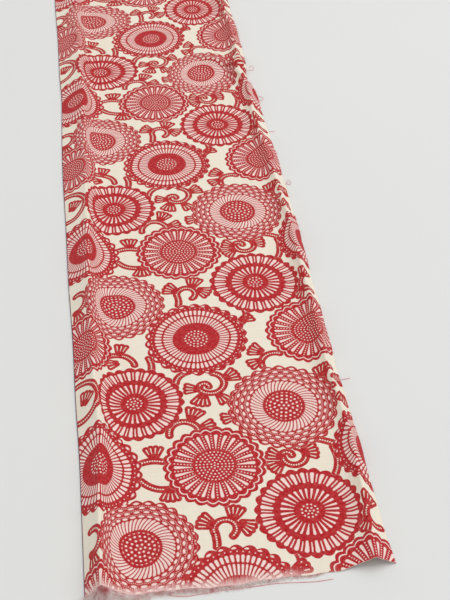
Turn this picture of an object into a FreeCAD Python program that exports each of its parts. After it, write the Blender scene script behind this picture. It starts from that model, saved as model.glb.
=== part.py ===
"""A cut strip of printed cotton cloth, as it lies on a table after its seam allowances were unpicked.

The strip runs along Y and lies on Z = 0. Its left long edge is the woven selvedge and its right long
edge is cut raw. A pressed crease runs along each side. At a crease the cloth stands up in a low ridge,
and outside it a narrow flap slopes back down to the table. Each flap turns about its crease.
All sizes are in millimetres.
"""
import FreeCAD, Part
import math
import os

from FreeCAD import Vector

# The cloth
LENGTH = 1000.0
THICKNESS = 0.45
LAID_WIDTH = 178.5              # from the selvedge to the raw edge, as the strip lies
HALF_LENGTH = LENGTH / 2
MID = THICKNESS / 2             # height of the cloth's middle layer where it lies flat

# Crease beside the selvedge: distance from the selvedge, height of the ridge, width of its shoulder
SELVEDGE_CREASE_NEAR = {"inset": 9.5, "height": 13.0, "shoulder": 20.0}
SELVEDGE_CREASE_FAR = {"inset": 22.0, "height": 9.0, "shoulder": 10.0}

# Crease beside the raw edge, with its distance from the raw edge
RAW_CREASE_NEAR = {"inset": 9.0, "height": 9.0, "shoulder": 13.0}
RAW_CREASE_FAR = {"inset": 9.5, "height": 8.5, "shoulder": 10.0}

SHOULDER_STEPS = 5              # facets across each curved shoulder
BAYS = 16                       # stretches along the strip, each with nearly no twist
FLAT_WITHIN = 1e-6              # a four-sided face this flat stays one face
CREASE_GAP = 0.6                # from the crease line to the cloth on each side of it

# Yarns and threads
SELVEDGE_YARN = 0.7             # diameter of the dark yarns that edge the selvedge
EDGE_CLEARANCE = 0.3            # from the cloth's edge to the yarns and threads beside it
END_FRINGE = 3.0                # length of the yarn ends past each cut end
NEAR_FRINGE_REACH = 140.0       # from the selvedge to where the near end is cut clean
FRINGE_THICKNESS = 0.3
RAW_FRINGE_WIDTH = 1.5          # loose yarn ends along the raw edge
THREAD = 0.4                    # diameter of a single loose thread
LOOP_SWEEP = 250.0              # how far round each loose loop goes, in degrees
LOOPS = {                       # name: (distance along the strip, radius of the loop)
    "edge_loop_lower": (-120.0, 2.4),
    "edge_loop_middle": (0.0, 2.0),
    "edge_loop_upper": (56.0, 3.2),
}
STRAIGHT_ENDS = {               # name: (distance along the strip, length, angle away from square)
    "edge_end_lower": (-350.0, 5.5, 8.0),
    "edge_end_middle": (-45.0, 4.5, -12.0),
}
LOOSE_THREAD_ROUTE = [          # distance from the selvedge, distance past the near fringe
    (46.0, 0.05),
    (49.0, 1.4),
    (55.0, 2.6),
    (64.0, 2.2),
    (76.0, 1.2),
    (92.0, 1.5),
    (108.0, 0.7),
    (121.0, 1.9),
    (132.0, 3.0),
    (141.0, 2.3),
]

LOOP_REACH = 2 * LOOPS["edge_loop_upper"][1] + THREAD / 2
YARN_REACH = SELVEDGE_YARN + EDGE_CLEARANCE
ORIGIN_FROM_SELVEDGE = (LAID_WIDTH + RAW_FRINGE_WIDTH + LOOP_REACH - YARN_REACH) / 2


def from_selvedge(distance):
    """The X of a point this far from the selvedge."""
    return distance - ORIGIN_FROM_SELVEDGE


def from_raw_edge(distance):
    """The X of a point this far in from the raw edge."""
    return LAID_WIDTH - distance - ORIGIN_FROM_SELVEDGE


def shoulder(crease_x, towards, crease):
    """Points of the cloth's middle layer from the crease down to the flat, at one end of the strip."""
    rise = crease["height"] - MID
    points = []
    for step in range(SHOULDER_STEPS + 1):
        part_way = step / SHOULDER_STEPS
        x = crease_x + towards * part_way * crease["shoulder"]
        points.append((x, MID + rise * (1 - part_way) ** 2))
    return points


def trimmed(points, gap):
    """The same line of points, cut short by a gap at its first point."""
    (x0, z0), (x1, z1) = points[0], points[1]
    run = math.hypot(x1 - x0, z1 - z0)
    start = (x0 + (x1 - x0) * gap / run, z0 + (z1 - z0) * gap / run)
    return [start] + points[1:]


def unit_normals(points):
    """Upward unit normals at each point of a line that runs towards +X, mitred at the corners."""
    sides = []
    for (x0, z0), (x1, z1) in zip(points, points[1:]):
        run = math.hypot(x1 - x0, z1 - z0)
        sides.append((-(z1 - z0) / run, (x1 - x0) / run))
    normals = [sides[0]]
    for (ax, az), (bx, bz) in zip(sides, sides[1:]):
        scale = 1 / (1 + ax * bx + az * bz)
        normals.append(((ax + bx) * scale, (az + bz) * scale))
    normals.append(sides[-1])
    return normals


def section_outline(points, y, thickness=THICKNESS):
    """The outline of a layer of cloth around a line of its middle layer, at one Y, without its last side."""
    half = thickness / 2
    normals = unit_normals(points)
    under = [Vector(x - nx * half, y, z - nz * half) for (x, z), (nx, nz) in zip(points, normals)]
    over = [Vector(x + nx * half, y, z + nz * half) for (x, z), (nx, nz) in zip(points, normals)]
    return under + over[::-1]


def polygon_face(corners):
    """A flat face with these corners."""
    return Part.Face(Part.makePolygon(corners + [corners[0]]))


def side_faces(corners):
    """One flat face between four corners, or two triangles where they don't lie in one plane."""
    a, b, c, d = corners
    height = (b - a).cross(c - a).dot(d - a)
    if abs(height) < FLAT_WITHIN:
        return [polygon_face(corners)]
    return [polygon_face([a, b, c]), polygon_face([a, c, d])]


def cloth_solid(near_points, far_points):
    """A strip of cloth between its near and far sections, which change evenly along it."""
    outlines = []
    for bay in range(BAYS + 1):
        part_way = bay / BAYS
        points = [
            (x0 + (x1 - x0) * part_way, z0 + (z1 - z0) * part_way)
            for (x0, z0), (x1, z1) in zip(near_points, far_points)
        ]
        outlines.append(section_outline(points, -HALF_LENGTH + LENGTH * part_way))
    faces = [polygon_face(outlines[0]), polygon_face(outlines[-1])]
    for near, far in zip(outlines, outlines[1:]):
        for i in range(len(near)):
            j = (i + 1) % len(near)
            corners = [near[i], near[j], far[j], far[i]]
            if i >= len(near_points):
                corners = corners[1:] + corners[:1]     # the upper side splits along the same diagonal
            faces += side_faces(corners)
    shell = Part.Shell(faces)
    solid = Part.Solid(shell)
    if solid.Volume < 0:
        solid.reverse()
    return solid.removeSplitter()


def fringe_solid(points, end):
    """The band of yarn ends that stands out past one cut end of the cloth."""
    outline = section_outline(points, end * HALF_LENGTH, FRINGE_THICKNESS)
    return polygon_face(outline).extrude(Vector(0, end * END_FRINGE, 0))


def selvedge_shoulder_points(crease):
    """The middle layer of the cloth from the selvedge crease down to the flat."""
    return trimmed(shoulder(from_selvedge(crease["inset"]), 1, crease), CREASE_GAP)


def raw_shoulder_points(crease):
    """The middle layer of the cloth from the flat up to the raw edge's crease."""
    return trimmed(shoulder(from_raw_edge(crease["inset"]), -1, crease), CREASE_GAP)[::-1]


def selvedge_flap_points(crease):
    """The middle layer of the flap beside the selvedge, from the selvedge to its crease."""
    crease_point = (from_selvedge(crease["inset"]), crease["height"])
    line = trimmed([crease_point, (from_selvedge(0), MID)], CREASE_GAP)
    return line[::-1]


def raw_flap_points(crease):
    """The middle layer of the flap beside the raw edge, from its crease to the raw edge."""
    crease_point = (from_raw_edge(crease["inset"]), crease["height"])
    return trimmed([crease_point, (from_raw_edge(0), MID)], CREASE_GAP)


def selvedge_yarns():
    """The dark yarns along the selvedge."""
    radius = SELVEDGE_YARN / 2
    x = from_selvedge(-EDGE_CLEARANCE - radius)
    start = Vector(x, -HALF_LENGTH, radius)
    return Part.makeCylinder(radius, LENGTH, start, Vector(0, 1, 0))


def raw_edge_fringe():
    """The band of loose yarn ends along the raw edge."""
    corner = Vector(from_raw_edge(-EDGE_CLEARANCE), -HALF_LENGTH, 0)
    return Part.makeBox(RAW_FRINGE_WIDTH - EDGE_CLEARANCE, LENGTH, FRINGE_THICKNESS, corner)


def edge_loop(along, radius):
    """A loose loop of thread that lies on the table just outside the raw edge's fringe."""
    centre = Vector(from_raw_edge(-RAW_FRINGE_WIDTH - radius), along, THREAD / 2)
    loop = Part.makeTorus(radius, THREAD / 2, Vector(0, 0, 0), Vector(0, 0, 1), -180, 180, LOOP_SWEEP)
    loop.rotate(Vector(0, 0, 0), Vector(0, 0, 1), -LOOP_SWEEP / 2)
    loop.translate(centre)
    return loop


def straight_end(along, length, angle):
    """A straight loose thread that lies on the table, out from the raw edge's fringe."""
    turn = math.radians(angle)
    start = Vector(from_raw_edge(-RAW_FRINGE_WIDTH - EDGE_CLEARANCE), along, THREAD / 2)
    direction = Vector(math.cos(turn), math.sin(turn), 0)
    return Part.makeCylinder(THREAD / 2, length, start, direction)


def tangent_arc(before, corner, after):
    """The arc that rounds one corner of a route, and its radius."""
    to_before = before - corner
    to_after = after - corner
    reach = 0.45 * min(to_before.Length, to_after.Length)
    to_before.normalize()
    to_after.normalize()
    half_turn = (math.pi - to_before.getAngle(to_after)) / 2
    radius = reach / math.tan(half_turn)
    start = corner + to_before * reach
    end = corner + to_after * reach
    bisector = to_before + to_after
    bisector.normalize()
    middle = corner + bisector * (radius / math.cos(half_turn) - radius)
    return Part.Arc(start, middle, end), start, end, radius


def thread_tube(points, diameter):
    """A round thread along straight runs joined by tangent arcs."""
    edges = []
    radii = []
    last = points[0]
    for before, corner, after in zip(points, points[1:], points[2:]):
        arc, start, end, radius = tangent_arc(before, corner, after)
        edges.append(Part.LineSegment(last, start).toShape())
        edges.append(arc.toShape())
        radii.append(radius)
        last = end
    edges.append(Part.LineSegment(last, points[-1]).toShape())
    path = Part.Wire(edges)
    circle = Part.makeCircle(diameter / 2, points[0], points[1] - points[0])
    tube = path.makePipeShell([Part.Wire(circle)], True, False)
    expected = math.pi * diameter ** 2 / 4 * path.Length
    print("loose thread: length %.1f, volume %.2f of %.2f" % (path.Length, tube.Volume, expected))
    print("loose thread radii:", " ".join("%.1f" % radius for radius in radii))
    return tube


def loose_thread():
    """One weft thread that has come away and lies in front of the near end."""
    front = -HALF_LENGTH - END_FRINGE
    points = [Vector(from_selvedge(along), front - out, THREAD / 2) for along, out in LOOSE_THREAD_ROUTE]
    return thread_tube(points, THREAD)


def print_hinge(name, near, far):
    """Print a crease line as the point and axis that its joint takes, in metres."""
    point = (near + far) * 0.5
    axis = far - near
    axis.normalize()
    print("%s pos_m [%.6f, %.6f, %.6f]" % (name, point.x / 1000, point.y / 1000, point.z / 1000))
    print("%s axis [%.6f, %.6f, %.6f]" % (name, axis.x, axis.y, axis.z))


def build():
    """Every piece of the strip by name."""
    selvedge_rise_near = selvedge_shoulder_points(SELVEDGE_CREASE_NEAR)
    selvedge_rise_far = selvedge_shoulder_points(SELVEDGE_CREASE_FAR)
    raw_rise_near = raw_shoulder_points(RAW_CREASE_NEAR)
    raw_rise_far = raw_shoulder_points(RAW_CREASE_FAR)
    selvedge_near = selvedge_flap_points(SELVEDGE_CREASE_NEAR)
    selvedge_far = selvedge_flap_points(SELVEDGE_CREASE_FAR)
    raw_near = raw_flap_points(RAW_CREASE_NEAR)
    raw_far = raw_flap_points(RAW_CREASE_FAR)
    flat_near = [selvedge_rise_near[-1], raw_rise_near[0]]
    flat_far = [selvedge_rise_far[-1], raw_rise_far[0]]
    pieces = {
        "centre_panel": cloth_solid(flat_near, flat_far),
        "selvedge_shoulder": cloth_solid(selvedge_rise_near, selvedge_rise_far),
        "raw_shoulder": cloth_solid(raw_rise_near, raw_rise_far),
        "selvedge_flap": cloth_solid(selvedge_near, selvedge_far),
        "raw_flap": cloth_solid(raw_near, raw_far),
        "selvedge_yarns": selvedge_yarns(),
        "near_fringe_panel": fringe_solid(
            selvedge_rise_near + [(from_selvedge(NEAR_FRINGE_REACH), MID)], -1
        ),
        "near_fringe_selvedge": fringe_solid(selvedge_near, -1),
        "far_fringe_panel": fringe_solid(selvedge_rise_far + raw_rise_far, 1),
        "far_fringe_selvedge": fringe_solid(selvedge_far, 1),
        "far_fringe_raw": fringe_solid(raw_far, 1),
        "raw_edge_fringe": raw_edge_fringe(),
        "loose_weft_thread": loose_thread(),
    }
    for name, (along, radius) in LOOPS.items():
        pieces[name] = edge_loop(along, radius)
    for name, (along, length, angle) in STRAIGHT_ENDS.items():
        pieces[name] = straight_end(along, length, angle)
    return pieces


def main():
    os.makedirs("parts", exist_ok=True)
    box = FreeCAD.BoundBox()
    for name, shape in build().items():
        shape.exportStep("parts/%s.step" % name)
        if name != "loose_weft_thread":
            box.add(shape.BoundBox)
        print("%-22s valid %s  volume %.1f" % (name, shape.isValid(), shape.Volume))
    print("box X %.2f %.2f  Y %.2f %.2f  Z %.2f %.2f" % (box.XMin, box.XMax, box.YMin, box.YMax, box.ZMin, box.ZMax))
    print_hinge(
        "selvedge_crease",
        Vector(from_selvedge(SELVEDGE_CREASE_NEAR["inset"]), -HALF_LENGTH, SELVEDGE_CREASE_NEAR["height"]),
        Vector(from_selvedge(SELVEDGE_CREASE_FAR["inset"]), HALF_LENGTH, SELVEDGE_CREASE_FAR["height"]),
    )
    print_hinge(
        "raw_crease",
        Vector(from_raw_edge(RAW_CREASE_NEAR["inset"]), -HALF_LENGTH, RAW_CREASE_NEAR["height"]),
        Vector(from_raw_edge(RAW_CREASE_FAR["inset"]), HALF_LENGTH, RAW_CREASE_FAR["height"]),
    )


main()
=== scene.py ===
"""The looks of a printed cotton cloth strip that lies on a table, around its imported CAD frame.

The cloth is one surface in three pieces: the panel, and on each side a piece that bends at its crease.
Lengths in the constants are in millimetres, and everything built is in metres.
"""

import math

import bpy
import numpy as np
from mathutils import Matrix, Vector

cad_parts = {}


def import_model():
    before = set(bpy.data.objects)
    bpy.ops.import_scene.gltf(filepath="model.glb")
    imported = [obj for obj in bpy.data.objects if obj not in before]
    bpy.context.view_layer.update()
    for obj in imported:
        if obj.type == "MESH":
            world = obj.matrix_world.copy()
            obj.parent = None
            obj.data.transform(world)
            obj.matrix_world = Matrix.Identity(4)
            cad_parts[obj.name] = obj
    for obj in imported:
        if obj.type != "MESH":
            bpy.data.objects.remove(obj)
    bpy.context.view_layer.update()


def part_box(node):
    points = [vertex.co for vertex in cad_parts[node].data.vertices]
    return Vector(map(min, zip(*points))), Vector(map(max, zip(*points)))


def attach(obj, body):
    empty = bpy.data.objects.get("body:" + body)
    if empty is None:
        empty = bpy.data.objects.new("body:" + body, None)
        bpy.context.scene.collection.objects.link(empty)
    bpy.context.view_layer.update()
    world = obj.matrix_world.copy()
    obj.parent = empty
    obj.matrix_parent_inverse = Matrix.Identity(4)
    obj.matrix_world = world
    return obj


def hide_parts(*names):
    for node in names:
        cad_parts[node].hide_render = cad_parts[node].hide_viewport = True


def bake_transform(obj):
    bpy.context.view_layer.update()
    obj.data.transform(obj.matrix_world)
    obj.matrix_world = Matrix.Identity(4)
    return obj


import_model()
random = np.random.default_rng(7)
MM = 0.001

# ---------------------------------------------------------------- the cloth's shape, in millimetres
HALF_LENGTH = 500.0
THICKNESS = 0.45
MID = THICKNESS / 2
SELVEDGE_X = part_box("selvedge_flap")[0].x / MM + 0.2
RAW_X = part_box("raw_flap")[1].x / MM - 0.2

SELVEDGE_INSET = (9.5, 22.0)        # crease to selvedge, at the near and the far end
SELVEDGE_RIDGE = (13.0, 9.0)        # height of the ridge
SELVEDGE_SHOULDER = (21.0, 11.0)    # width of the rise from the flat to the ridge
SELVEDGE_BOW = 2.5                  # how far the crease strays inwards halfway along
RAW_INSET = (9.0, 9.5)
RAW_RIDGE = (9.0, 8.5)
RAW_SHOULDER = (13.0, 10.5)
RAW_BOW = 2.2                       # how far this crease strays outwards halfway along
SHOULDER_POWER = 2.2                # above 1, the rise is steepest beside the ridge
FLAP_SAG = 0.5
CREASE_ROUNDING = 0.8
SQUEEZE = 6.5                       # how much of the print's width is lost on the rise beside the selvedge
SQUEEZE_PLACE = 6.0                 # from the crease to the middle of that loss
SQUEEZE_REACH = 1.8
LIFTED_CORNER = 12.0                # extra width of the rise at the near corner of the raw side
LIFTED_LENGTH = 38.0
SEAM_MARGIN = 5.0                   # from the foot of a rise to the seam between two pieces
SAMPLE = 0.25                       # spacing of the points that a cross-section is measured with

SECTION_STEPS = 60                  # points along each flap and each rise of a cross-section

ROWS = 380
LEFT_COLUMNS = (10, 12, 18)         # across the flap, the crease and the rise
PANEL_COLUMNS = 72
RIGHT_COLUMNS = (16, 12, 8)         # across the rise, the crease and the flap
CREASE_ZONE = 3.0                   # the columns are close together over this much beside a crease

# ---------------------------------------------------------------- small helpers


def ramp(ends, t):
    """A value that changes evenly along the strip, t running from 0 at the near end to 1 at the far end."""
    return ends[0] + (ends[1] - ends[0]) * t


def bump(x, centre, width):
    """A smooth bump of height 1."""
    return np.exp(-((x - centre) / width) ** 2)


def link_object(name, data):
    piece = bpy.data.objects.new(name, data)
    bpy.context.scene.collection.objects.link(piece)
    return piece


# ---------------------------------------------------------------- one cross-section of the cloth


def raw_edge_x(y):
    """The raw edge isn't straight: it swells, and it is pulled in where the cloth is pinched."""
    swell = 2.0 * bump(y, -140, 110) - 1.4 * bump(y, 190, 160)
    pinch = -4.6 * bump(y, 47, 15)
    wobble = 0.35 * np.sin(y / 17.0) + 0.25 * np.sin(y / 7.3 + 1)
    return RAW_X + swell + pinch + wobble


def selvedge_edge_x(y):
    """The selvedge is nearly straight, and drifts inwards towards the far end."""
    drift = 1.9 / (1 + np.exp(-y / 60)) + 1.3 * bump(y, 31, 35) + 0.9 * bump(y, -388, 40)
    return SELVEDGE_X + drift + 0.3 * np.sin(y / 61.0) + 0.2 * np.sin(y / 23.0 + 2)


def selvedge_crease_stray(y):
    """How far the crease lies inwards of its plain line."""
    return 2.0 * bump(y, -70, 110) + 2.0 * bump(y, -388, 38)


def raw_crease_stray(y):
    """How far this crease lies inwards of its plain line: it swings in at the lifted corner."""
    stray = 3.5 * bump(y, -500, 22) - 2.4 * bump(y, -400, 60)
    return stray + 2.4 * bump(y, -55, 55) - 1.2 * bump(y, -250, 60)


def side(y, t, edge, inwards, inset, ridge, shoulder, bow, stray):
    """The crease of one side at this row: its x, height and the width of the rise beside it."""
    crease_x = edge + inwards * (inset + bow * math.sin(math.pi * t) + stray)
    height = ridge * (1 + 0.05 * math.sin(y / 43.0) + 0.03 * math.sin(y / 19.0 + inwards))
    return crease_x, height, shoulder


def cross_section(y):
    """Evenly spaced points (x, z) across the cloth's middle layer, and the distances of its landmarks."""
    t = (y + HALF_LENGTH) / (2 * HALF_LENGTH)
    edge_l = selvedge_edge_x(y)
    edge_r = raw_edge_x(y)
    lift = LIFTED_CORNER * math.exp(-(y + HALF_LENGTH) / LIFTED_LENGTH)
    crease_l, height_l, rise_l = side(
        y, t, edge_l, 1, ramp(SELVEDGE_INSET, t), ramp(SELVEDGE_RIDGE, t), ramp(SELVEDGE_SHOULDER, t),
        SELVEDGE_BOW, selvedge_crease_stray(y))
    crease_r, height_r, rise_r = side(
        y, t, edge_r, -1, ramp(RAW_INSET, t), ramp(RAW_RIDGE, t), ramp(RAW_SHOULDER, t) + lift, -RAW_BOW,
        raw_crease_stray(y))
    steps = np.linspace(0, 1, SECTION_STEPS)
    flap_sag = FLAP_SAG * np.sin(math.pi * steps)
    flap_l = (edge_l + (crease_l - edge_l) * steps, MID + (height_l - MID) * steps - flap_sag)
    shoulder_l = (crease_l + rise_l * steps, MID + (height_l - MID) * (1 - steps) ** SHOULDER_POWER)
    shoulder_r = (crease_r - rise_r * (1 - steps), MID + (height_r - MID) * steps ** SHOULDER_POWER)
    flap_r = (crease_r + (edge_r - crease_r) * steps, height_r + (MID - height_r) * steps - flap_sag)
    x = np.concatenate([flap_l[0], shoulder_l[0][1:], shoulder_r[0], flap_r[0][1:]])
    z = np.concatenate([flap_l[1], shoulder_l[1][1:], shoulder_r[1], flap_r[1][1:]])
    run = np.concatenate([[0], np.cumsum(np.hypot(np.diff(x), np.diff(z)))])
    even = np.arange(0, run[-1], SAMPLE)
    even = np.append(even, run[-1])
    x = np.interp(even, run, x)
    z = np.interp(even, run, z)
    reach = int(3 * CREASE_ROUNDING / SAMPLE)
    kernel = np.exp(-0.5 * (np.arange(-reach, reach + 1) * SAMPLE / CREASE_ROUNDING) ** 2)
    kernel /= kernel.sum()
    z = np.convolve(np.pad(z, reach, mode="reflect", reflect_type="odd"), kernel, mode="valid")
    x = np.convolve(np.pad(x, reach, mode="reflect", reflect_type="odd"), kernel, mode="valid")
    marks = {
        "end": run[-1],
        "crease_l": run[SECTION_STEPS - 1],
        "foot_l": run[2 * SECTION_STEPS - 2],
        "foot_r": run[2 * SECTION_STEPS - 1],
        "crease_r": run[3 * SECTION_STEPS - 2],
        "middle": np.interp(0.0, x, even),
    }
    return even, x, z, marks


# ---------------------------------------------------------------- the whole surface


def columns(marks):
    """Distances across the cloth at which it gets points, for the three pieces in turn."""
    seam_l = marks["foot_l"] + SEAM_MARGIN
    seam_r = marks["foot_r"] - SEAM_MARGIN
    crease_l = marks["crease_l"]
    crease_r = marks["crease_r"]
    left = [
        np.linspace(0, crease_l - CREASE_ZONE, LEFT_COLUMNS[0], endpoint=False),
        np.linspace(crease_l - CREASE_ZONE, crease_l + CREASE_ZONE, LEFT_COLUMNS[1], endpoint=False),
        np.linspace(crease_l + CREASE_ZONE, seam_l, LEFT_COLUMNS[2]),
    ]
    middle = [np.linspace(seam_l, seam_r, PANEL_COLUMNS)[1:]]
    right = [
        np.linspace(seam_r, crease_r - CREASE_ZONE, RIGHT_COLUMNS[0], endpoint=False)[1:],
        np.linspace(crease_r - CREASE_ZONE, crease_r + CREASE_ZONE, RIGHT_COLUMNS[1], endpoint=False),
        np.linspace(crease_r + CREASE_ZONE, marks["end"], RIGHT_COLUMNS[2]),
    ]
    return np.concatenate(left + middle + right)


def lifts(u, y):
    """How far the cloth lies off its plain shape, in mm: waves, two fold lines and three wrinkles."""
    waves = 0.5 + 0.5 * np.sin(u / 27.0 + 1.3 * np.sin(y / 71.0)) * np.sin(y / 58.0 + u / 90.0)
    ripples = 0.5 + 0.5 * np.sin(y / 21.0 + 2 * np.sin(u / 33.0)) * np.sin(u / 15.0 + 1)
    fold_lines = bump(y, -236, 3.0) * 0.25 + bump(y, 250, 3.0) * 0.3
    along = (u - 38) / 44
    wrinkle_y = 92 - 36 * along
    strength = 1 / (1 + np.exp(-(u - 44) / 7)) / (1 + np.exp((u - 84) / 3))
    wrinkle = 6.2 * strength * bump(y, wrinkle_y, 4.6) + 2.8 * strength * bump(y, wrinkle_y - 14, 4.2)
    wrinkle += 2.2 * strength * bump(y, wrinkle_y + 13, 4.6)
    return 0.45 * waves + 0.22 * ripples + fold_lines + wrinkle


def print_drift(u, y, crease):
    """How far the print lies to the right of its plain place, in mm.

    The cloth has been pulled askew, and the print is squeezed where the selvedge's rise is steepest."""
    squeezed = SQUEEZE / (1 + np.exp((u - crease - SQUEEZE_PLACE) / SQUEEZE_REACH))
    pulled = 11.0 / (1 + np.exp(-(y - 110) / 55)) * bump(u, -8, 46)
    gathered = -6.0 * bump(y, 55, 50) * bump(u, 48, 30)
    return squeezed + pulled + gathered


def surface():
    """The cloth's middle layer as a grid: points, normals and flat cloth coordinates, all in mm."""
    spread = np.linspace(0, 1, ROWS)
    ys = -HALF_LENGTH + 2 * HALF_LENGTH * spread
    points = []
    flats = []
    creases = []
    for y in ys:
        even, x, z, marks = cross_section(y)
        across = columns(marks)
        u = across - marks["middle"]
        creases.append([marks["crease_l"] - marks["middle"]])
        place = [np.interp(across, even, x), np.full(len(u), y), np.interp(across, even, z)]
        points.append(np.stack(place, 1))
        flats.append(np.stack([u, np.full(len(u), y + HALF_LENGTH), np.zeros(len(u))], 1))
    points = np.array(points)
    flats = np.array(flats)
    near_cut = -1.8 * bump(points[0, :, 0], -12, 45) + 0.5 * np.sin(points[0, :, 0] / 9.0)
    near_cut += 0.3 * np.sin(points[0, :, 0] / 3.1)
    far_cut = 0.9 * np.sin(points[0, :, 0] / 21.0) + 0.4 * np.sin(points[0, :, 0] / 5.3)
    near_share = np.exp(-(ys + HALF_LENGTH) / 12.0)[:, None]
    far_share = np.exp((ys - HALF_LENGTH) / 12.0)[:, None]
    points[:, :, 1] += near_cut * near_share + far_cut * far_share
    normals = grid_normals(points)
    points += normals * lifts(flats[:, :, 0], points[:, :, 1])[:, :, None]
    flats[:, :, 0] -= print_drift(flats[:, :, 0], points[:, :, 1], np.array(creases))
    return points, grid_normals(points), flats


def grid_normals(points):
    along = np.gradient(points, axis=0)
    across = np.gradient(points, axis=1)
    normals = np.cross(across, along)
    return normals / np.linalg.norm(normals, axis=2, keepdims=True)


def cloth_mesh(name, points, normals, flats):
    """A piece of the cloth with its real thickness: printed face, back, and the cut sides."""
    rows, cols = points.shape[:2]
    half = normals * THICKNESS / 2
    verts = np.concatenate([(points + half).reshape(-1, 3), (points - half).reshape(-1, 3)]) * MM
    index = np.arange(rows * cols).reshape(rows, cols)
    a, b = index[:-1, :-1].ravel(), index[:-1, 1:].ravel()
    c, d = index[1:, 1:].ravel(), index[1:, :-1].ravel()
    under = rows * cols
    top = np.stack([a, b, c, d], 1)
    bottom = np.stack([a, d, c, b], 1) + under
    rim = np.concatenate([index[0, :], index[1:, -1], index[-1, -2::-1], index[-2:0:-1, 0]])
    after = np.roll(rim, -1)
    walls = np.stack([rim, rim + under, after + under, after], 1)
    mesh = bpy.data.meshes.new(name)
    mesh.from_pydata(verts.tolist(), [], np.concatenate([top, bottom, walls]).tolist())
    flat = np.concatenate([flats.reshape(-1, 3)] * 2) * MM
    attribute = mesh.attributes.new("cloth", "FLOAT_VECTOR", "POINT")
    attribute.data.foreach_set("vector", flat.astype(np.float32).ravel())
    kinds = np.ones(len(mesh.polygons), np.int32)
    kinds[:len(top)] = 0
    mesh.polygons.foreach_set("material_index", kinds)
    mesh.shade_smooth()
    mesh.set_sharp_from_angle(angle=math.radians(60))
    mesh.update()
    return link_object(name, mesh)


# ---------------------------------------------------------------- arithmetic inside a material


class Signal:
    """A number or a vector in a material, with arithmetic that adds Math nodes to the tree."""

    tree = None

    def __init__(self, socket):
        self.socket = socket

    def __add__(self, other):
        return math_node("ADD", self, other)

    def __radd__(self, other):
        return math_node("ADD", other, self)

    def __sub__(self, other):
        return math_node("SUBTRACT", self, other)

    def __rsub__(self, other):
        return math_node("SUBTRACT", other, self)

    def __mul__(self, other):
        return math_node("MULTIPLY", self, other)

    def __rmul__(self, other):
        return math_node("MULTIPLY", other, self)

    def __truediv__(self, other):
        return math_node("DIVIDE", self, other)


def new_node(kind, **settings):
    node = Signal.tree.nodes.new(kind)
    for name, value in settings.items():
        setattr(node, name, value)
    return node


def feed(socket, value):
    """Link a signal to an input, or set the input to a number."""
    if isinstance(value, Signal):
        Signal.tree.links.new(value.socket, socket)
    else:
        socket.default_value = value


def math_node(operation, *values, clamp=False):
    node = new_node("ShaderNodeMath", operation=operation, use_clamp=clamp)
    for socket, value in zip(node.inputs, values):
        feed(socket, value)
    return Signal(node.outputs[0])


def vector_node(operation, *values):
    node = new_node("ShaderNodeVectorMath", operation=operation)
    for socket, value in zip(node.inputs, values):
        feed(socket, value)
    number = operation in ("LENGTH", "DOT_PRODUCT", "DISTANCE")
    return Signal(node.outputs["Value" if number else "Vector"])


def smaller(a, b):
    return math_node("MINIMUM", a, b)


def larger(a, b):
    return math_node("MAXIMUM", a, b)


def hypotenuse(a, b):
    return math_node("SQRT", a * a + b * b)


def fraction(a):
    return math_node("FRACT", a)


def blended(factor, a, b, kind="FLOAT"):
    """a where factor is 0 and b where it is 1."""
    node = new_node("ShaderNodeMix", data_type=kind)
    sockets = {"FLOAT": (0, 2, 3, 0), "VECTOR": (0, 4, 5, 1), "RGBA": (0, 6, 7, 2)}[kind]
    feed(node.inputs[sockets[0]], factor)
    feed(node.inputs[sockets[1]], a)
    feed(node.inputs[sockets[2]], b)
    return Signal(node.outputs[sockets[3]])


def inside(distance, softness):
    """1 where a signed distance is below 0, 0 where it is above, with a soft edge."""
    node = new_node("ShaderNodeMapRange", clamp=True)
    feed(node.inputs["Value"], distance)
    node.inputs["From Min"].default_value = -softness
    node.inputs["From Max"].default_value = softness
    node.inputs["To Min"].default_value = 1.0
    node.inputs["To Max"].default_value = 0.0
    return Signal(node.outputs["Result"])


def split(vector):
    node = new_node("ShaderNodeSeparateXYZ")
    feed(node.inputs[0], vector)
    return [Signal(output) for output in node.outputs]


def noise(vector, scale, detail=2.0, roughness=0.5, colour=False):
    node = new_node("ShaderNodeTexNoise")
    feed(node.inputs["Vector"], vector)
    node.inputs["Scale"].default_value = scale
    node.inputs["Detail"].default_value = detail
    node.inputs["Roughness"].default_value = roughness
    return Signal(node.outputs["Color" if colour else "Fac"])


# ---------------------------------------------------------------- the print
# Places are (across, along) in mm of flat cloth, along being the place within one repeat.

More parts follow.
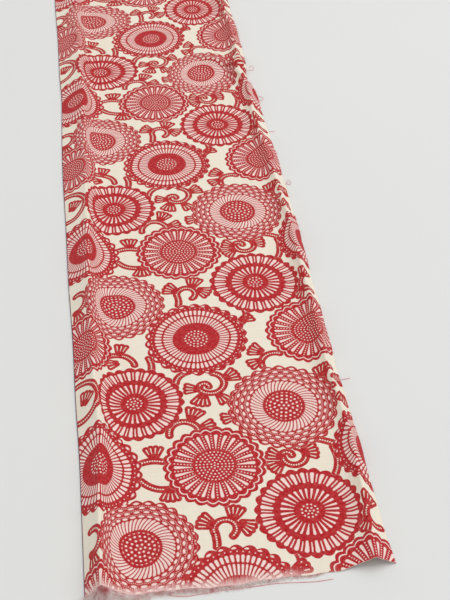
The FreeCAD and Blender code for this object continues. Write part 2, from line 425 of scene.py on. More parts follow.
REPEAT = 213.5
REPEAT_START = 165.5                # place within the repeat at the near cut end
DOUBLE_RING, SCALED, BORDERED, SPOKED = range(4)
MEDALLIONS = [                      # kind, across, along, radius
    (DOUBLE_RING, -54.5, 98.5, 33.5),
    (DOUBLE_RING, 44.0, 209.5, 34.0),
    (SCALED, -60.0, 196.0, 35.4),
    (SCALED, 43.5, 83.5, 37.5),
    (BORDERED, -6.5, 155.0, 36.5),
    (BORDERED, -90.0, 41.0, 36.5),
    (BORDERED, 103.0, 38.0, 35.5),
    (SPOKED, -8.5, 39.0, 32.8),
    (SPOKED, -97.0, 152.0, 31.0),
    (SPOKED, 75.0, 152.5, 32.5),
]
STEMS = [                           # centre across, centre along, radius, facing and half arc in degrees
    (-2.0, 110.5, 9.3, -40, 115),
    (-6.5, 107.5, 3.2, 95, 95),
    (-14.0, 112.0, 11.0, 140, 32),
    (-65.0, 133.0, 25.0, 0, 17),
    (-24.5, 68.5, 9.7, 95, 95),
    (44.5, 124.0, 9.5, 128, 68),
    (-48.0, 27.0, 20.5, 90, 21),
    (-39.0, 45.0, 21.0, 253, 34),
    (-8.5, 203.0, 6.8, 70, 125),
    (-40.0, 197.0, 25.3, -3, 11),
    (42.5, 40.0, 7.3, -55, 125),
    (38.0, 41.0, 3.2, 95, 95),
    (51.5, 22.8, 30.0, 63, 11),
    (40.0, 37.0, 29.5, -8, 22),
    (-63.0, 134.0, 11.5, 90, 88),
    (-104.0, 101.0, 16.5, 0, 100),
    (84.0, 100.0, 9.0, 170, 80),
    (86.0, 197.0, 8.0, 200, 90),
    (-102.0, 199.0, 8.5, 0, 100),
    (20.0, 176.0, 12.0, -20, 40),
]
LEAVES = [                          # middle across and along, facing in degrees, number of fingers
    (13.5, 116.0, 25, 4),
    (-16.0, 107.0, 170, 3),
    (-10.5, 95.0, 250, 4),
    (4.5, 95.0, 300, 3),
    (-16.0, 85.0, 62, 4),
    (-8.0, 73.0, 15, 3),
    (5.5, 77.5, 185, 3),
    (32.5, 138.0, 150, 4),
    (30.0, 125.0, 205, 3),
    (-45.5, 55.0, 88, 4),
    (-38.5, 18.5, 265, 4),
    (29.5, 43.0, 155, 3),
    (29.0, 33.0, 215, 4),
    (54.0, 42.5, 0, 4),
    (-20.0, 210.0, 150, 4),
    (-1.0, 2.0, 72, 4),
    (5.5, 203.0, -35, 4),
    (-60.0, 151.5, 75, 3),
    (-68.0, 136.0, 200, 3),
    (32.0, 171.0, 25, 3),
    (75.0, 110.5, 80, 4),
    (-98.0, 103.0, 60, 4),
    (86.0, 80.0, 250, 4),
    (88.0, 100.0, 120, 4),
    (84.0, 209.0, 60, 4),
    (75.0, 190.0, 230, 3),
    (-101.0, 185.0, 280, 3),
]
RIM = 0.036                         # width of the solid line round a medallion, as a share of its radius
INK_SPREAD = 0.0040                 # how far the ink creeps into a pale shape, as a share of a radius
INK_EDGE = 0.006                    # softness of an ink edge, as a share of a medallion's radius
CURL_EDGE = 0.2                     # the same on the scrolls, in mm
HAND_DRAWN = 2.0                    # range of the drawing's slow unevenness, in mm
BLEEDING = 0.35                     # range of the ink's fine unevenness, in mm


def local_place(place, across, along):
    """The place seen from a motif's centre, wrapped to the nearest repeat."""
    offset = vector_node("SUBTRACT", place, (across, along, 0.0))
    limit = (1000.0, REPEAT / 2, 1000.0)
    return vector_node("WRAP", offset, limit, tuple(-x for x in limit))


def nearest(place, motifs):
    """The local place, the facts and the distance of the nearest motif.

    Each motif is (across, along, scale, first fact, second fact)."""
    best = None
    for across, along, scale, first, second in motifs:
        local = local_place(place, across, along)
        distance = vector_node("LENGTH", local) / scale
        facts = (first, second, 0.0)
        if best is None:
            best = [local, facts, distance]
            continue
        closer = math_node("LESS_THAN", distance, best[2])
        best[0] = blended(closer, best[0], local, "VECTOR")
        best[1] = blended(closer, best[1], facts, "VECTOR")
        best[2] = smaller(distance, best[2])
    return best


def turns_of(x, y):
    """The direction of a point, in turns from 0 to 1."""
    return math_node("ARCTAN2", y, x) / (2 * math.pi) + 0.5


def cell(turns, count, offset=0.0):
    """Place within one of a number of equal sectors, from -0.5 to 0.5."""
    return fraction(turns * count + offset) - 0.5


def sideways(place_in_cell, count, rho):
    """The distance from a sector's middle line."""
    return place_in_cell * rho * (2 * math.pi) / count


def petals(rho, turns, count, start, end, width_start, width_end, offset=0.0):
    """Distance to a ring of round-ended petals that widen outwards."""
    lateral = sideways(cell(turns, count, offset), count, rho)
    along = smaller(larger(rho, start), end)
    width = width_start + (along - start) * ((width_end - width_start) / (end - start))
    return hypotenuse(lateral, rho - along) - width


def dotted_disc(rho, turns, spacing, dot):
    """Distance to dots in rings of 6, 12, 18 and so on about a centre dot."""
    ring = larger(math_node("ROUND", rho / spacing), 1.0)
    count = ring * 6.0
    lateral = (fraction(turns * count + ring * 0.37) - 0.5) * rho * (2 * math.pi) / count
    in_ring = hypotenuse(lateral, rho - ring * spacing) - dot
    return smaller(in_ring, rho - dot)


def scalloped(turns, count, depth):
    """The radius of an outline with round bumps."""
    bumps = math_node("ABSOLUTE", math_node("SINE", turns * (math.pi * count)))
    return (1.0 - depth) + bumps * depth


def within(rho, limit, pale):
    """A pale shape that is kept only inside a radius."""
    return pale * inside(rho - limit, INK_EDGE)


def pale_where(distance):
    """1 in a pale shape, a little smaller than drawn, because the ink around it spreads."""
    return inside(distance + INK_SPREAD, INK_EDGE)


def double_ring_pale(rho, turns):
    outer = petals(rho, turns, 28, 0.665, 0.850, 0.026, 0.044)
    between = petals(rho, turns, 28, 0.680, 0.860, 0.013, 0.018, 0.5)
    inner = petals(rho, turns, 28, 0.290, 0.500, 0.010, 0.028)
    dots = within(rho, 0.19, pale_where(dotted_disc(rho, turns, 0.074, 0.0225)))
    return larger(pale_where(smaller(smaller(outer, between), inner)), dots)


def scaled_pale(rho, turns):
    twisted = turns + (rho - 0.36) * 0.16
    ring = pale_where(petals(rho, twisted, 46, 0.395, 0.575, 0.020, 0.031))
    vein = petals(rho, twisted, 46, 0.500, 0.610, 0.003, 0.004, 0.12)
    ring = ring * (1.0 - pale_where(vein))
    dots = within(rho, 0.325, pale_where(dotted_disc(rho, turns, 0.082, 0.0245)))
    start = 0.612
    height = 0.094
    level = (rho - start) / height
    row = math_node("FLOOR", level)
    up = (fraction(level) - 0.5) * height
    count = 28
    along = sideways(fraction(turns * count + row * 0.5) - 0.5, count, rho)
    lens = hypotenuse(along * 0.48, up + 0.012)
    core = lens - 0.0275
    rim = larger(math_node("ABSOLUTE", lens - 0.0475) - 0.0098, 0.0 - up)
    bead_gaps = math_node("ABSOLUTE", fraction(turns * (count * 5)) - 0.5) * 0.02 - 0.0070
    scales = pale_where(smaller(core, larger(rim, bead_gaps)))
    scales = scales * pale_where(start - rho)
    return larger(larger(ring, dots), scales)


def bordered_pale(rho, turns):
    inner = petals(rho, turns, 54, 0.460, 0.615, 0.018, 0.024)
    outer = petals(rho, turns, 54, 0.690, 0.770, 0.027, 0.032)
    shapes = pale_where(smaller(inner, outer))
    dots = within(rho, 0.26, pale_where(dotted_disc(rho, turns, 0.070, 0.0215)))
    count = 27
    lens = hypotenuse(sideways(cell(turns, count, 0.5), count, rho) * 0.50, rho - 0.928) - 0.025
    beads = hypotenuse(sideways(cell(turns, 2 * count), 2 * count, rho), rho - 0.862) - 0.0155
    return larger(larger(shapes, dots), pale_where(smaller(lens, beads)))


def spoked_pale(rho, turns, outline):
    wedges = pale_where(petals(rho, turns, 26, 0.430, 0.755, 0.010, 0.038))
    spacing = 0.062
    lateral = sideways(cell(turns, 26, 0.5), 26, rho)
    along = (fraction(rho / spacing) - 0.5) * spacing
    spokes = pale_where(hypotenuse(lateral, along) - 0.018)
    spokes = spokes * pale_where(rho - 0.80) * pale_where(0.41 - rho)
    dots = within(rho, 0.38, pale_where(dotted_disc(rho, turns, 0.070, 0.0205)))
    line = pale_where(math_node("ABSOLUTE", rho - outline + 0.088) - 0.017)
    return larger(larger(wedges, spokes), larger(dots, line))


def medallion_ink(place):
    """Ink of the nearest medallion, and the mask of its whole disc."""
    motifs = []
    for kind, across, along, radius in MEDALLIONS:
        share = (across * 7.3) % 1      # each medallion is turned by a share of its own
        motifs.append((across, along, radius, kind, share))
    local, facts, rho = nearest(place, motifs)
    x, y, _ = split(local)
    kind, start, _ = split(facts)
    turns = turns_of(x, y) + start
    outline = scalloped(turns, 26, 0.06)
    pales = [double_ring_pale(rho, turns), scaled_pale(rho, turns), bordered_pale(rho, turns),
             spoked_pale(rho, turns, outline)]
    pale = pales[0]
    for number, other in enumerate(pales[1:], 1):
        pale = blended(math_node("GREATER_THAN", kind, number - 0.5), pale, other)
    pale = pale * inside(rho - outline + RIM, INK_EDGE)
    disc = inside(rho - outline, INK_EDGE)
    return disc * (1.0 - pale), disc


def turned(local, degrees):
    """A local place seen by a motif that faces another way."""
    angle = degrees * (math.pi / 180)
    x, y, _ = split(local)
    cosine = math_node("COSINE", angle)
    sine = math_node("SINE", angle)
    return x * cosine + y * sine, y * cosine - x * sine


STEM_HALF_WIDTH = 2.75
BEAD = 0.55
BEAD_SPACING = 1.65
LEAF_MIDDLE = 9.0                   # from the point that a leaf's fingers spread from to its middle
LEAF_ROOT = 4.2                     # from that point to the fingers' start
LEAF_REACH = 12.0                   # from that point to the centre of a finger's round end
LEAF_STEP = math.radians(15.5)      # between two fingers
SLIT_START = 7.4                    # from that point to the start of a finger's pale slit


def arc_distance(local, radius, facing, half):
    """Distance to an arc about the origin, and the local place as the arc's own direction sees it."""
    turn = new_node("ShaderNodeVectorRotate", rotation_type="Z_AXIS")
    feed(turn.inputs["Vector"], local)
    turn.inputs["Angle"].default_value = -math.radians(facing)
    own = Signal(turn.outputs[0])
    x, y, _ = split(own)
    folded = new_node("ShaderNodeCombineXYZ")
    feed(folded.inputs[0], x)
    feed(folded.inputs[1], math_node("ABSOLUTE", y))
    folded = Signal(folded.outputs[0])
    cosine = math.cos(math.radians(half))
    sine = math.sin(math.radians(half))
    to_end = vector_node("DISTANCE", folded, (radius * cosine, radius * sine, 0.0))
    to_circle = math_node("ABSOLUTE", vector_node("LENGTH", own) - radius)
    beyond = math_node("LESS_THAN", vector_node("DOT_PRODUCT", folded, (sine, -cosine, 0.0)), 0.0)
    return blended(beyond, to_circle, to_end), own


def stem_ink(place):
    """Hooked stems with a row of beads along the middle."""
    distance = None
    for across, along, radius, facing, half in STEMS:
        this, own = arc_distance(local_place(place, across, along), radius, facing, half)
        if distance is None:
            distance, best, bend = this, own, radius
            continue
        closer = math_node("LESS_THAN", this, distance)
        best = blended(closer, best, own, "VECTOR")
        bend = blended(closer, bend, radius)
        distance = smaller(distance, this)
    x, y, _ = split(best)
    run = math_node("ARCTAN2", y, x) * bend / BEAD_SPACING
    bead = hypotenuse((fraction(run) - 0.5) * BEAD_SPACING, distance) - BEAD
    return inside(distance - STEM_HALF_WIDTH, CURL_EDGE) * (1.0 - inside(bead, CURL_EDGE))


def leaf_ink(place):
    """Small leaves like hands, with a pale slit in each finger."""
    motifs = [(across, along, 1.0, facing, (fingers - 1) / 2) for across, along, facing, fingers in LEAVES]
    local, facts, _ = nearest(place, motifs)
    facing, outermost, _ = split(facts)
    x, y = turned(local, facing)
    x = x + LEAF_MIDDLE
    rho = hypotenuse(x, y)
    angle = math_node("ARCTAN2", y, x)
    shift = fraction(outermost)
    finger = math_node("ROUND", angle / LEAF_STEP - shift) + shift
    finger = smaller(larger(finger, 0.0 - outermost), outermost)
    off = angle - finger * LEAF_STEP
    out = rho * math_node("COSINE", off)
    aside = rho * math_node("SINE", off)
    along = smaller(larger(out, LEAF_ROOT), LEAF_REACH)
    body = hypotenuse(aside, out - along) - (along * 0.07 + 1.6)
    slit_along = smaller(larger(out, SLIT_START), LEAF_REACH - 0.3)
    slit = hypotenuse(aside, out - slit_along) - (slit_along * 0.05 - 0.17)
    return inside(body, CURL_EDGE) * (1.0 - inside(slit, CURL_EDGE))


def print_group():
    """The node group that draws the print from the cloth's own flat coordinates."""
    group = bpy.data.node_groups.new("cloth_print", "ShaderNodeTree")
    group.interface.new_socket("Ink", in_out="OUTPUT", socket_type="NodeSocketFloat")
    group.interface.new_socket("Petals", in_out="OUTPUT", socket_type="NodeSocketFloat")
    Signal.tree = group
    flat = Signal(new_node("ShaderNodeAttribute", attribute_name="cloth").outputs["Vector"])
    hand = vector_node("SUBTRACT", noise(flat, 60.0, 1.0, colour=True), (0.5, 0.5, 0.5))
    bleed = vector_node("SUBTRACT", noise(flat, 900.0, 2.0, colour=True), (0.5, 0.5, 0.5))
    place = vector_node("SCALE", flat)
    place.socket.node.inputs["Scale"].default_value = 1000.0
    place = vector_node("ADD", place, (0.0, REPEAT_START, 0.0))
    place = vector_node("MULTIPLY_ADD", hand, (HAND_DRAWN, HAND_DRAWN, 0.0), place)
    place = vector_node("MULTIPLY_ADD", bleed, (BLEEDING, BLEEDING, 0.0), place)
    medallion, disc = medallion_ink(place)
    scrolls = larger(stem_ink(place), leaf_ink(place)) * (1.0 - disc)
    ink = larger(medallion, scrolls)
    out = new_node("NodeGroupOutput")
    feed(out.inputs["Ink"], ink)
    feed(out.inputs["Petals"], disc)
    return group


# ---------------------------------------------------------------- materials


def srgb(red, green, blue):
    """A colour given as it looks on a screen, from 0 to 255, as the linear colour of a shader."""
    linear = []
    for value in (red, green, blue):
        value /= 255
        linear.append(value / 12.92 if value <= 0.04045 else ((value + 0.055) / 1.055) ** 2.4)
    return (*linear, 1.0)


CREAM = srgb(240, 231, 215)
CREAM_DEEP = srgb(232, 219, 199)
PETAL = srgb(244, 212, 207)
RED = srgb(188, 28, 33)
RED_DEEP = srgb(164, 20, 34)
BACK = srgb(226, 214, 200)
BACK_INK = srgb(214, 150, 142)
YARN = srgb(255, 238, 234)
YARN_RED = srgb(205, 88, 92)
SELVEDGE_PURPLE = srgb(84, 34, 66)
# the colour of a dark line along the selvedge edge
FADED = srgb(242, 216, 210)
THREADS_PER_MM = 2.1
FRAY_DEPTH = 5.5                    # the print fades over this much at the near end, in mm
FRAYED_TO = 45.0                    # right of this, the near end is cut clean
PRINT = print_group()


def new_material(name, roughness, sheen=0.0):
    """A material whose shader's constant values sit on its own sockets."""
    material = bpy.data.materials.new(name)
    material.use_nodes = True
    Signal.tree = material.node_tree
    shader = material.node_tree.nodes["Principled BSDF"]
    shader.inputs["Roughness"].default_value = roughness
    shader.inputs["Specular IOR Level"].default_value = 0.18
    shader.inputs["Sheen Weight"].default_value = sheen
    shader.inputs["Sheen Roughness"].default_value = 0.5
    return material, shader


def weave(flat):
    """A plain weave's two parts: threads that cross over and under, and slubs that make some thicker."""
    across, along, _ = split(flat)
    pitch = THREADS_PER_MM * 1000 * math.pi
    warp = math_node("SINE", across * pitch)
    weft = math_node("SINE", along * pitch)
    crossing = warp * weft
    slub_place = vector_node("MULTIPLY", flat, (500.0, 45.0, 1.0))
    slub_across = vector_node("MULTIPLY", flat, (45.0, 500.0, 1.0))
    slubs = noise(slub_place, 1.0, 2.0) + noise(slub_across, 1.0, 2.0)
    return crossing, slubs


def frayed(flat):
    """How far the near cut end has lost its weft, so that the print fades: 1 at the cut, 0 further in."""
    across, along, _ = split(flat)
    streaks = noise(vector_node("MULTIPLY", flat, (1400.0, 160.0, 1.0)), 1.0, 2.0)
    depth = FRAY_DEPTH * MM
    faded = math_node("SUBTRACT", streaks * 1.5 + 0.2, along / depth, clamp=True)
    left_part = math_node("SUBTRACT", FRAYED_TO * MM * 25.0 + streaks * 0.4, across * 25.0, clamp=True)
    return faded * left_part


def cloth_material(name, ground, ground_deep, ink_light, ink_deep, strength):
    """Printed plain-woven cotton. strength is how much of the ink shows."""
    material, shader = new_material(name, 0.88, 0.06)
    flat = Signal(new_node("ShaderNodeAttribute", attribute_name="cloth").outputs["Vector"])
    drawing = new_node("ShaderNodeGroup", node_tree=PRINT)
    ink = Signal(drawing.outputs["Ink"])
    petals = Signal(drawing.outputs["Petals"])
    crossing, slubs = weave(flat)
    worn = noise(flat, 35.0, 3.0)
    patchy = noise(flat, 420.0, 3.0, 0.65)
    cream = blended(math_node("MULTIPLY_ADD", worn, 0.9, -0.1, clamp=True), ground, ground_deep, "RGBA")
    cream = blended(petals * (0.75 * strength), cream, PETAL, "RGBA")
    red = blended(math_node("MULTIPLY_ADD", patchy, 1.6, -0.45, clamp=True), ink_light, ink_deep, "RGBA")
    bite = math_node("MULTIPLY_ADD", patchy, 0.22, 0.87, clamp=True)
    colour = blended(ink * bite * strength, cream, red, "RGBA")
    colour = blended(frayed(flat) * 0.8, colour, FADED, "RGBA")
    shade = math_node("MULTIPLY_ADD", slubs, 0.09, 0.91)
    shade = shade + crossing * 0.02
    tinted = new_node("ShaderNodeMix", data_type="RGBA", blend_type="MULTIPLY")
    tinted.inputs[0].default_value = 1.0
    feed(tinted.inputs[6], colour)
    grey = new_node("ShaderNodeCombineColor")
    for socket in grey.inputs[:3]:
        feed(socket, shade)
    feed(tinted.inputs[7], Signal(grey.outputs[0]))
    feed(shader.inputs["Base Color"], Signal(tinted.outputs[2]))
    bump_node = new_node("ShaderNodeBump")
    bump_node.inputs["Strength"].default_value = 0.35
    bump_node.inputs["Distance"].default_value = 0.0002
    feed(bump_node.inputs["Height"], crossing * 0.35 + slubs * 0.8)
    feed(shader.inputs["Normal"], Signal(bump_node.outputs[0]))
    return material


def yarn_material(name, pale, deep, share):
    """Loose cotton yarn in two colours: the higher share is, the more of it is deep, and a tip is pale."""
    material, shader = new_material(name, 0.9, 0.25)
    place = Signal(new_node("ShaderNodeTexCoord").outputs["Object"])
    mottled = noise(place, 260.0, 2.0)
    to_tip = Signal(new_node("ShaderNodeAttribute", attribute_name="to_tip").outputs["Fac"])
    factor = math_node("SUBTRACT", mottled * 2.4 + (share - 1.2), to_tip * 0.8, clamp=True)
    feed(shader.inputs["Base Color"], blended(factor, pale, deep, "RGBA"))
    bump_node = new_node("ShaderNodeBump")
    bump_node.inputs["Strength"].default_value = 0.3
    bump_node.inputs["Distance"].default_value = 0.0001
    feed(bump_node.inputs["Height"], noise(place, 3000.0, 2.0))
    feed(shader.inputs["Normal"], Signal(bump_node.outputs[0]))
    return material


FACE = cloth_material("printed_face", CREAM, CREAM_DEEP, RED, RED_DEEP, 1.0)
REVERSE = cloth_material("cloth_back", BACK, BACK, BACK_INK, BACK_INK, 0.45)
LOOSE = yarn_material("loose_yarn", YARN, YARN_RED, 0.60)
STRAY = yarn_material("stray_thread", srgb(224, 165, 168), YARN_RED, 0.3)
# a dark purple line along the selvedge edge, drawn with the yarn material
EDGE = yarn_material("selvedge_yarn", SELVEDGE_PURPLE, srgb(120, 40, 62), 0.3)


# ---------------------------------------------------------------- the three pieces of cloth

points, normals, flats = surface()
SEAM_L = sum(LEFT_COLUMNS) - 1      # columns of the grid at which the three pieces meet
SEAM_R = SEAM_L + PANEL_COLUMNS - 1


def piece_of_cloth(name, first, last):
    part = slice(first, last + 1)
    piece = cloth_mesh(name, points[:, part], normals[:, part], flats[:, part])
    piece.data.materials.append(FACE)
    piece.data.materials.append(REVERSE)
    return piece


selvedge_cloth = piece_of_cloth("selvedge_cloth", 0, SEAM_L)
panel_cloth = piece_of_cloth("panel_cloth", SEAM_L, SEAM_R)
raw_cloth = piece_of_cloth("raw_cloth", SEAM_R, points.shape[1] - 1)


# ---------------------------------------------------------------- loose fibres


def fibre_mesh(name, paths, diameter, material):
    """Many fine fibres as one mesh of three-sided tubes that thin towards their tips."""
    verts = []
    faces = []
    sides = 3
    shares = []
    for path in paths:
        path = np.array(path)
        tangents = np.gradient(path, axis=0)
        tangents /= np.linalg.norm(tangents, axis=1, keepdims=True) + 1e-9
        up = np.array([0.1, 0.2, 1.0])
        one = np.cross(tangents, up)
        one /= np.linalg.norm(one, axis=1, keepdims=True) + 1e-9
        two = np.cross(tangents, one)
        base = len(verts)
        for i, point in enumerate(path):
            radius = diameter / 2 * (1 - 0.55 * i / (len(path) - 1))
            for k in range(sides):
                angle = 2 * math.pi * k / sides
                verts.append((point + radius * (one[i] * math.cos(angle) + two[i] * math.sin(angle))) * MM)
                shares.append(i / (len(path) - 1))
        for i in range(len(path) - 1):
            for k in range(sides):
                a = base + i * sides + k
                b = base + i * sides + (k + 1) % sides
                faces.append((a, b, b + sides, a + sides))
        faces.append(tuple(base + k for k in reversed(range(sides))))
        last = base + (len(path) - 1) * sides
        faces.append(tuple(last + k for k in range(sides)))
    mesh = bpy.data.meshes.new(name)
    mesh.from_pydata([tuple(v) for v in verts], [], faces)
    mesh.attributes.new("to_tip", "FLOAT", "POINT").data.foreach_set("value", shares)
    mesh.shade_smooth()
    mesh.materials.append(material)
    return link_object(name, mesh)


def fibre(start, direction, length, curl, floor=0.12, steps=5):
    """A short fibre that leaves the cloth, wanders and settles towards the table."""
    heading = np.array(direction, float)
    heading /= np.linalg.norm(heading)
    place = np.array(start, float)
    path = [place.copy()]
    for _ in range(steps):
        heading += random.normal(0, curl, 3) * (1, 1, 0.6)
        heading[2] -= 0.12
        heading /= np.linalg.norm(heading)
        place = place + heading * length / steps
        place[2] = max(place[2], floor)
        path.append(place.copy())
    return path


def fringe_paths(row, first, last, outward, count, length, fade_from=None, fade_to=None):
    """Fibres along one cut end, between two columns of the cloth's grid.

    Between the x of fade_from and fade_to they get fewer and shorter. One that starts high hangs down."""
    paths = []
    edge = points[row, first:last + 1]
    run = np.concatenate([[0], np.cumsum(np.linalg.norm(np.diff(edge, axis=0), axis=1))])
    for _ in range(count):
        where = random.uniform(0, run[-1])
        start = np.array([np.interp(where, run, edge[:, i]) for i in range(3)])
        share = 1.0
        if fade_from is not None:
            share = float(np.clip((fade_to - start[0]) / (fade_to - fade_from), 0, 1))
        if random.uniform() > 0.25 + 0.75 * share or share == 0.0:
            continue
        reach = length * random.uniform(0.25, 1.0) ** 1.3 * (0.4 + 0.6 * share)
        lean = random.normal(0, 0.4)
        start[2] += random.uniform(-0.15, 0.2)
        start[1] -= outward * 0.5
        rise = start[2]
        slope = random.normal(0.02, 0.12) - 0.09 * rise
        paths.append(fibre(start, (lean, outward, slope), reach + 0.8 * rise, 0.32))
    return paths


def add_fibres(name, paths, diameter, material, node):
    piece = fibre_mesh(name, paths, diameter, material)
    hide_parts(node)
    return piece


LAST = points.shape[1] - 1
NEAR_FIBRE = 0.17                   # diameters
FAR_FIBRE = 0.2
FAR_REACH = 2.8                     # longest fibre at the far end
near_left = add_fibres(
    "near_fringe_selvedge_yarns", fringe_paths(0, 0, SEAM_L, -1, 2300, 7.0), NEAR_FIBRE, LOOSE,
    "near_fringe_selvedge")
near_panel = add_fibres(
    "near_fringe_panel_yarns", fringe_paths(0, SEAM_L, SEAM_R, -1, 3600, 5.6, -30.0, 56.0), NEAR_FIBRE,
    LOOSE, "near_fringe_panel")
far_left = add_fibres(
    "far_fringe_selvedge_yarns", fringe_paths(-1, 0, SEAM_L, 1, 130, FAR_REACH), FAR_FIBRE, LOOSE,
    "far_fringe_selvedge")
far_panel = add_fibres(
    "far_fringe_panel_yarns", fringe_paths(-1, SEAM_L, SEAM_R, 1, 420, FAR_REACH), FAR_FIBRE, LOOSE,
    "far_fringe_panel")
far_right = add_fibres(
    "far_fringe_raw_yarns", fringe_paths(-1, SEAM_R, LAST, 1, 110, FAR_REACH), FAR_FIBRE, LOOSE,
    "far_fringe_raw")


def raw_edge_paths():
    """Short weft ends that stand out along the raw long edge, more where the cloth is pinched."""
    paths = []
    ys = points[:, LAST, 1]
    for _ in range(1500):
        y = random.uniform(-HALF_LENGTH + 2, HALF_LENGTH - 2)
        frayed = 0.35 + 0.65 * float(bump(y, 60, 150)) + 0.35 * math.sin(y / 31.0) * math.sin(y / 11.0)
        if random.uniform() > frayed:
            continue
        start = np.array([np.interp(y, ys, points[:, LAST, i]) for i in range(3)])
        start[0] -= 0.3
        reach = random.uniform(0.6, 2.4) * (0.6 + 0.6 * frayed)
        paths.append(fibre(start, (1, random.normal(0, 0.5), random.normal(0, 0.15)), reach, 0.35, steps=4))
    return paths


raw_fibres = add_fibres("raw_edge_yarns", raw_edge_paths(), 0.2, LOOSE, "raw_edge_fringe")


# ---------------------------------------------------------------- single threads


def thread(name, route, diameter, material, node):
    """A single thread as a smooth curve through control points given in mm."""
    data = bpy.data.curves.new(name, "CURVE")
    data.dimensions = "3D"
    data.resolution_u = 6
    data.bevel_depth = diameter / 2 * MM
    data.bevel_resolution = 2
    data.use_fill_caps = True
    spline = data.splines.new("NURBS")
    spline.points.add(len(route) - 1)
    for point, (x, y, z) in zip(spline.points, route):
        point.co = (x * MM, y * MM, z * MM, 1)
    spline.order_u = 3
    spline.use_endpoint_u = True
    data.materials.append(material)
    piece = link_object(name, data)
    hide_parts(node)
    return piece


# a thin dark purple line along the selvedge edge, drawn as one thread
selvedge_route = [tuple(points[i, 0] + (-0.12, 0, 0.12)) for i in range(0, ROWS, 3)]
selvedge_route.append(tuple(points[-1, 0]))
selvedge_line = thread("selvedge_dark_line", selvedge_route, 0.55, EDGE, "selvedge_yarns")


def edge_thread(name, along, offsets, node):
    """A thread that comes out of the raw edge and lies on the table, as offsets from the edge."""
    edge_x = float(np.interp(along, points[:, LAST, 1], points[:, LAST, 0]))
    route = [(edge_x + dx, along + dy, z) for dx, dy, z in offsets]
    return thread(name, route, EDGE_THREAD, STRAY, node)


EDGE_THREAD = 0.32                  # diameter
LOOP_HEIGHT = 0.3
lower_loop = edge_thread("lower_thread_loop", -122, [
    (-0.6, -1, 0.4), (1.5, -1.5, 0.5), (3.6, -3.5, LOOP_HEIGHT), (5.4, -1.0, LOOP_HEIGHT), (4.6, 2.6, 0.4),
    (2.6, 3.4, 1.0), (1.6, 1.2, 0.6), (3.0, -0.8, 0.3)], "edge_loop_lower")
middle_loop = edge_thread("middle_thread_loop", 8, [
    (-0.6, -2, 0.4), (1.4, -3.0, 0.6), (3.8, -2.2, LOOP_HEIGHT), (4.8, 1.0, LOOP_HEIGHT), (3.0, 3.8, 0.5),
    (0.8, 3.6, 0.9)], "edge_loop_middle")
upper_loop = edge_thread("upper_thread_loop", 58, [
    (-0.6, 0, 0.5), (2.0, 1.5, 0.8), (4.4, 0.4, LOOP_HEIGHT), (7.0, 1.6, LOOP_HEIGHT), (8.6, 5.2, 0.5),
    (6.6, 8.4, 0.9), (3.8, 7.8, 0.5), (3.6, 5.2, LOOP_HEIGHT)], "edge_loop_upper")
lower_end = edge_thread("lower_straight_thread", -350, [
    (-0.5, 0, 0.4), (2.2, 0.5, 0.3), (4.8, 0.4, 0.25), (7.0, 1.2, 0.25)], "edge_end_lower")
middle_end = edge_thread("middle_straight_thread", -45, [
    (-0.5, 0, 0.4), (1.6, -0.5, 0.3), (3.4, -0.4, 0.25), (5.6, -1.3, 0.25)], "edge_end_middle")

# The free weft thread in front of the near end: the CAD route, from the selvedge and the near fringe
LOOSE_THREAD = 0.4
LOOSE_THREAD_ROUTE = [
    (46.0, 0.05),
    (49.0, 1.4),
    (55.0, 2.6),
    (64.0, 2.2),
    (76.0, 1.2),
    (92.0, 1.5),
    (108.0, 0.7),
    (121.0, 1.9),
    (132.0, 3.0),
    (141.0, 2.3),
]
CAD_SELVEDGE_X = -92.75
CAD_FRINGE_Y = -503.0
loose_route = []
for along, out in LOOSE_THREAD_ROUTE:
    loose_route.append((CAD_SELVEDGE_X + along, CAD_FRINGE_Y - out, LOOSE_THREAD / 2))
loose_thread = thread("loose_weft_yarn", loose_route, LOOSE_THREAD, STRAY, "loose_weft_thread")


# ---------------------------------------------------------------- what moves with what


def crease_blend(piece):
    """Bake the piece's transform into its mesh."""
    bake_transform(piece)


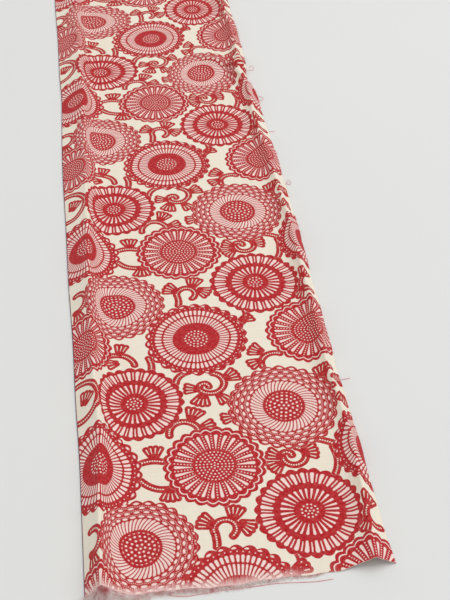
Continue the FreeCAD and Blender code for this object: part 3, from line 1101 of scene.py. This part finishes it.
for piece in (panel_cloth, near_panel, far_panel, loose_thread):
    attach(piece, "panel")
for piece in (selvedge_cloth, near_left, far_left):
    crease_blend(piece)
for piece in (raw_cloth, far_right):
    crease_blend(piece)
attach(selvedge_line, "selvedge_flap")
for piece in (raw_fibres, lower_loop, middle_loop, upper_loop, lower_end, middle_end):
    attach(piece, "raw_flap")

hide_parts("centre_panel")
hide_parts("selvedge_flap", "selvedge_shoulder")
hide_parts("raw_flap", "raw_shoulder")


# ---------------------------------------------------------------- table, light and camera


def table():
    bpy.ops.mesh.primitive_plane_add(size=60.0, location=(0, 0, 0))
    floor = bpy.context.object
    floor.name = "floor"
    material, shader = new_material("floor", 0.75)
    place = Signal(new_node("ShaderNodeTexCoord").outputs["Object"])
    shade = noise(place, 3.0, 3.0)
    colour = blended(shade, srgb(228, 228, 226), srgb(224, 224, 223), "RGBA")
    feed(shader.inputs["Base Color"], colour)
    floor.data.materials.append(material)


def area_light(name, location, target, size, power):
    data = bpy.data.lights.new(name, "AREA")
    data.size = size
    data.energy = power
    light = link_object(name, data)
    light.location = location
    light.rotation_euler = (Vector(target) - Vector(location)).to_track_quat("-Z", "Y").to_euler()


CAMERA_HEIGHT = 560.0
CAMERA_BACK = 379.0                 # from the near cut end
CAMERA_FROM_SELVEDGE = 27.0         # inwards from the selvedge
CAMERA_PITCH = 41.8                 # degrees below the horizon
CAMERA_YAW = 7.8                    # degrees to the right of the strip's direction
CAMERA_LENS = 69.0


def camera():
    data = bpy.data.cameras.new("camera")
    data.lens = CAMERA_LENS
    view = link_object("camera", data)
    view.location = (
        (SELVEDGE_X + CAMERA_FROM_SELVEDGE) * MM, (-HALF_LENGTH - CAMERA_BACK) * MM, CAMERA_HEIGHT * MM)
    view.rotation_euler = (math.radians(90 - CAMERA_PITCH), 0, math.radians(-CAMERA_YAW))
    bpy.context.scene.camera = view


def world():
    sky = bpy.data.worlds.new("world")
    sky.use_nodes = True
    background = sky.node_tree.nodes["Background"]
    background.inputs["Color"].default_value = srgb(253, 254, 253)
    background.inputs["Strength"].default_value = 0.70
    bpy.context.scene.world = sky


table()
area_light("window", (1.1, 0.1, 2.1), (0, -0.25, 0), 2.2, 25)
camera()
world()
bpy.context.scene.view_settings.view_transform = "Standard"
